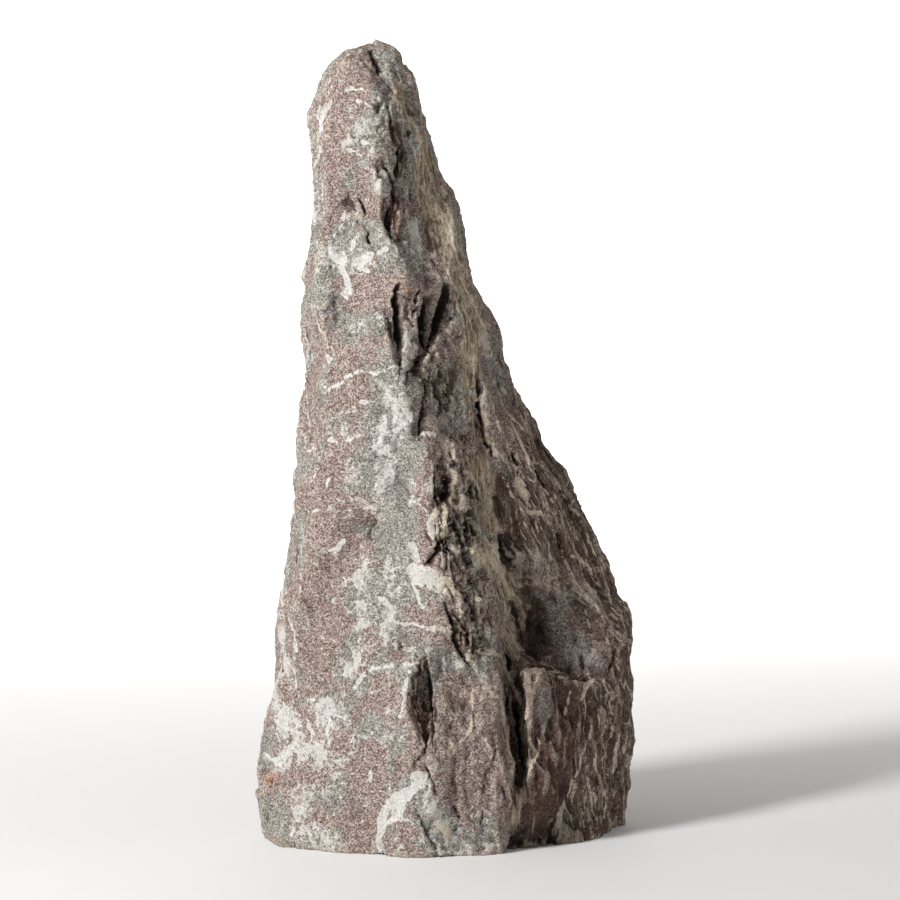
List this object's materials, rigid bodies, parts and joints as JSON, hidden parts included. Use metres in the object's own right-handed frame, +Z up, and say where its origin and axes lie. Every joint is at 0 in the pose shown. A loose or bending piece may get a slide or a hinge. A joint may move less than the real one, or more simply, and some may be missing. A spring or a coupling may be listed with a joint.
{
  "type": "stone monolith",
  "caption": "Tall rough-split marble stone with a narrow crown, a spreading foot, cleft front and white veins, standing on its flat base as a garden feature",
  "frame": {"origin": "on the ground, under the middle of the stone's bounding box", "axes": "+Z up the stone, +X to its right seen from the front, -Y towards the front"},
  "size_m": [0.4844, 0.3578, 1.0003],
  "materials": {
    "marble": "rough split mauve-brown and grey marble with white calcite veins"
  },
  "bodies": {
    "root": {"stone": "marble"}
  },
  "joints": []
}
